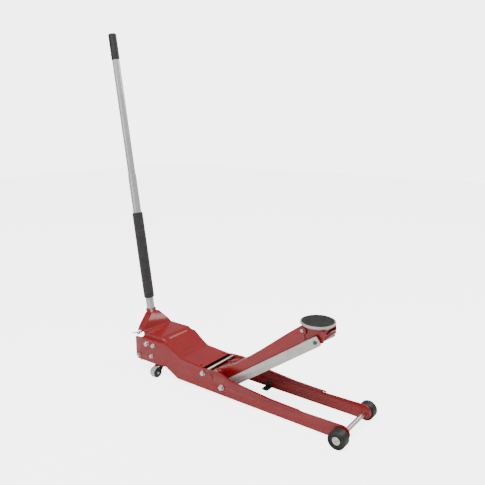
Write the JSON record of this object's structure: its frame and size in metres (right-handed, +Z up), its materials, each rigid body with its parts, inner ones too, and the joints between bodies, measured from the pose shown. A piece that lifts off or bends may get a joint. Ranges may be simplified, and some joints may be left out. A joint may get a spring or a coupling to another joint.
{
  "type": "car jack",
  "caption": "Low-profile hydraulic trolley jack, part raised, with parallel-link lift arm, round swivelling saddle, rear casters and a tall upright handle.",
  "frame": {"origin": "on the floor, under the middle of the jack's overall length and width", "axes": "+X towards the front wheels, +Y to the jack's left, +Z up"},
  "size_m": [1.2698, 0.282, 1.4897],
  "materials": {
    "red_paint": "gloss",
    "black_paint": "satin",
    "zinc": "satin",
    "steel": "polished",
    "iron": "matte",
    "spring": "satin",
    "wheel_nylon": "satin",
    "rubber": "matte",
    "foam": "matte"
  },
  "bodies": {
    "frame": {"side_plate_right": "red_paint", "side_plate_left": "red_paint", "cover": "red_paint", "cover_screws": "red_paint", "rear_cross_plate": "red_paint", "tie_bar": "zinc", "arm_stops": "black_paint", "frame_bolts": "zinc", "front_axle": "zinc", "axle_washers": "zinc", "axle_spacers": "zinc", "caster_shelf_right": "red_paint", "caster_shelf_left": "red_paint", "main_shaft": "red_paint", "shaft_collars": "zinc", "link_bolts": "zinc", "link_spacers": "zinc", "pump_block": "iron", "reservoir": "iron", "gland_nut": "zinc", "return_springs": "spring", "plunger_spring": "spring", "filler_plug": "rubber", "yoke_shaft": "zinc", "yoke_nuts": "zinc"},
    "wheel_right": {"front_wheel_right": "wheel_nylon"},
    "wheel_left": {"front_wheel_left": "wheel_nylon"},
    "caster_right": {"caster_fork_right": "black_paint", "caster_axle_right": "zinc", "caster_nut_right": "zinc"},
    "caster_left": {"caster_fork_left": "black_paint", "caster_axle_left": "zinc", "caster_nut_left": "zinc"},
    "caster_roll_right": {"caster_wheel_right": "zinc"},
    "caster_roll_left": {"caster_wheel_left": "zinc"},
    "arm": {"lift_arm": "red_paint", "saddle_pin": "steel"},
    "link_right": {"link_bar_right": "zinc"},
    "link_left": {"link_bar_left": "zinc"},
    "bracket": {"saddle_bracket": "red_paint", "link_end_pins": "steel"},
    "saddle": {"saddle_plate": "zinc", "saddle_clip": "spring", "saddle_pad": "rubber"},
    "ram_set": {"ram": "steel", "ram_head": "iron", "ram_pin": "steel"},
    "plunger": {"pump_plunger": "steel"},
    "valve": {"release_valve": "zinc"},
    "socket": {"yoke": "red_paint", "roller_pin": "steel"},
    "roller": {"pump_roller": "iron"},
    "clamp": {"clamp_screw": "zinc"},
    "handle": {"lower_tube": "zinc", "foam_sleeve": "foam", "upper_tube": "zinc", "grip": "rubber", "button_spring": "spring"},
    "button": {"lock_button": "zinc"}
  },
  "joints": [
    {"name": "arm_lift", "type": "hinge", "parent": "frame", "child": "arm", "pos_m": [-0.00306, 0, 0.077], "axis": [0, -1, 0], "range_deg": [-38, 16.7]},
    {"name": "link_swing_right", "type": "hinge", "parent": "frame", "child": "link_right", "pos_m": [0.05744, -0.055, 0.0484], "axis": [0, -1, 0], "range_deg": [-38.1, 16.8]},
    {"name": "link_swing_left", "type": "hinge", "parent": "frame", "child": "link_left", "pos_m": [0.05744, 0.055, 0.0484], "axis": [0, -1, 0], "range_deg": [-38.1, 16.8]},
    {"name": "bracket_level", "type": "hinge", "parent": "arm", "child": "bracket", "pos_m": [0.40338, 0, 0.36477], "axis": [0, -1, 0], "range_deg": [-16.8, 38.1]},
    {"name": "saddle_swivel", "type": "hinge", "parent": "bracket", "child": "saddle", "pos_m": [0.44238, 0, 0.38027], "axis": [0, 0, 1], "continuous": true},
    {"name": "ram_stroke", "type": "slide", "parent": "frame", "child": "ram_set", "axis": [1, 0, 0], "range_m": [-0.02519, 0.01107], "deforming": ["return_springs"]},
    {"name": "front_wheel_roll_right", "type": "hinge", "parent": "frame", "child": "wheel_right", "pos_m": [0.60094, -0.12, 0.034], "axis": [0, 1, 0], "continuous": true},
    {"name": "front_wheel_roll_left", "type": "hinge", "parent": "frame", "child": "wheel_left", "pos_m": [0.60094, 0.12, 0.034], "axis": [0, 1, 0], "continuous": true},
    {"name": "caster_swivel_right", "type": "hinge", "parent": "frame", "child": "caster_right", "pos_m": [-0.30006, -0.088, 0.08], "axis": [0, 0, 1], "continuous": true},
    {"name": "caster_swivel_left", "type": "hinge", "parent": "frame", "child": "caster_left", "pos_m": [-0.30006, 0.088, 0.08], "axis": [0, 0, 1], "continuous": true},
    {"name": "caster_wheel_roll_right", "type": "hinge", "parent": "caster_right", "child": "caster_roll_right", "pos_m": [-0.30006, -0.115, 0.024], "axis": [1, 0, 0], "continuous": true},
    {"name": "caster_wheel_roll_left", "type": "hinge", "parent": "caster_left", "child": "caster_roll_left", "pos_m": [-0.30006, 0.115, 0.024], "axis": [1, 0, 0], "continuous": true},
    {"name": "handle_pump", "type": "hinge", "parent": "frame", "child": "socket", "pos_m": [-0.36006, 0, 0.139], "axis": [0, -1, 0], "range_deg": [0, 40]},
    {"name": "handle_twist", "type": "hinge", "parent": "socket", "child": "handle", "pos_m": [-0.43906, 0, 0.259], "axis": [-0.1435, 0, 0.9897], "range_deg": [0, 180]},
    {"name": "plunger_stroke", "type": "slide", "parent": "frame", "child": "plunger", "axis": [0, 0, 1], "range_m": [-0.02464, 0.00001], "deforming": ["plunger_spring"]},
    {"name": "roller_spin", "type": "hinge", "parent": "socket", "child": "roller", "pos_m": [-0.39606, 0, 0.139], "axis": [0, 1, 0], "continuous": true},
    {"name": "clamp_screw_turn", "type": "hinge", "parent": "socket", "child": "clamp", "pos_m": [-0.42643, -0.04, 0.17191], "axis": [0, -1, 0], "range_deg": [-120, 0]},
    {"name": "release_turn", "type": "hinge", "parent": "frame", "child": "valve", "pos_m": [-0.42506, 0.03, 0.058], "axis": [1, 0, 0], "range_deg": [0, 90]},
    {"name": "button_press", "type": "slide", "parent": "handle", "child": "button", "axis": [-0.6361, 0.766, -0.0922], "range_m": [0, 0.004], "stiffness_N_per_m": 1500, "springref_m": -0.001, "deforming": ["button_spring"]}
  ],
  "couplings": [
    {"joint": "link_swing_right", "follows": "arm_lift", "ratio": 1},
    {"joint": "link_swing_left", "follows": "arm_lift", "ratio": 1},
    {"joint": "bracket_level", "follows": "arm_lift", "ratio": -1},
    {"joint": "ram_stroke", "follows": "arm_lift", "m_per_rad": 0.037961},
    {"joint": "plunger_stroke", "follows": "handle_pump", "m_per_rad": -0.03528},
    {"joint": "release_turn", "follows": "handle_twist", "ratio": 0.5}
  ]
}
